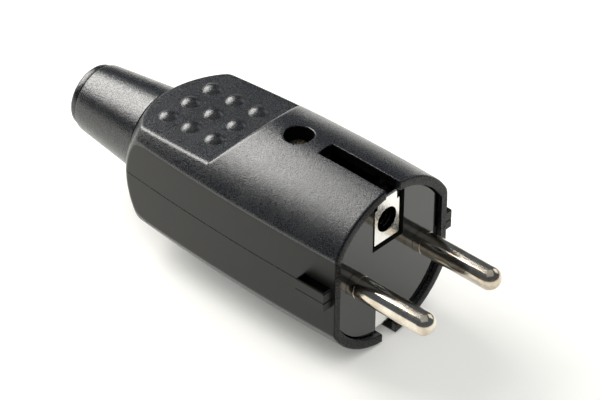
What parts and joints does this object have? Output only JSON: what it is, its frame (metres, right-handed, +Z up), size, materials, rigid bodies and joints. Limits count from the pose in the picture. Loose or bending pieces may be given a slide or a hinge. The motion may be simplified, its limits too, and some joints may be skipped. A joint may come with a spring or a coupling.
{
  "type": "mains plug",
  "caption": "Rewireable straight mains plug in black rubber with round pins, earth socket, side earth slots, dotted grip panels and a tapered kink sleeve.",
  "frame": {"origin": "centre of the engagement face, the front face of the contact carrier, midway between the two pins", "axes": "+Y from the engagement face towards the cable, +Z up towards the earth socket, +X to the right of someone who looks along +Y"},
  "size_m": [0.037, 0.0999, 0.0372],
  "materials": {
    "housing_rubber": "black, finely textured on the barrel and smooth on the flats",
    "sleeve_rubber": "black, smooth and slightly shiny",
    "carrier_plastic": "glossy black moulding",
    "clamp_plastic": "matt black moulding",
    "nickel_plate": "polished nickel plate on brass",
    "zinc_steel": "yellow zinc plate"
  },
  "bodies": {
    "root": {"upper_shell": "housing_rubber", "lower_shell": "housing_rubber", "kink_sleeve": "sleeve_rubber", "contact_carrier": "carrier_plastic", "clamp_bar": "clamp_plastic", "pin_left": "nickel_plate", "pin_right": "nickel_plate", "wire_guard_left": "nickel_plate", "wire_guard_right": "nickel_plate", "earth_bow": "nickel_plate", "earth_socket": "nickel_plate", "terminal_screw_left": "zinc_steel", "terminal_screw_right": "zinc_steel", "earth_screw": "zinc_steel", "earth_washer": "zinc_steel", "housing_screw": "zinc_steel", "screw_washer": "zinc_steel", "housing_nut": "zinc_steel", "clamp_screw_left": "zinc_steel", "clamp_screw_right": "zinc_steel"}
  },
  "joints": []
}
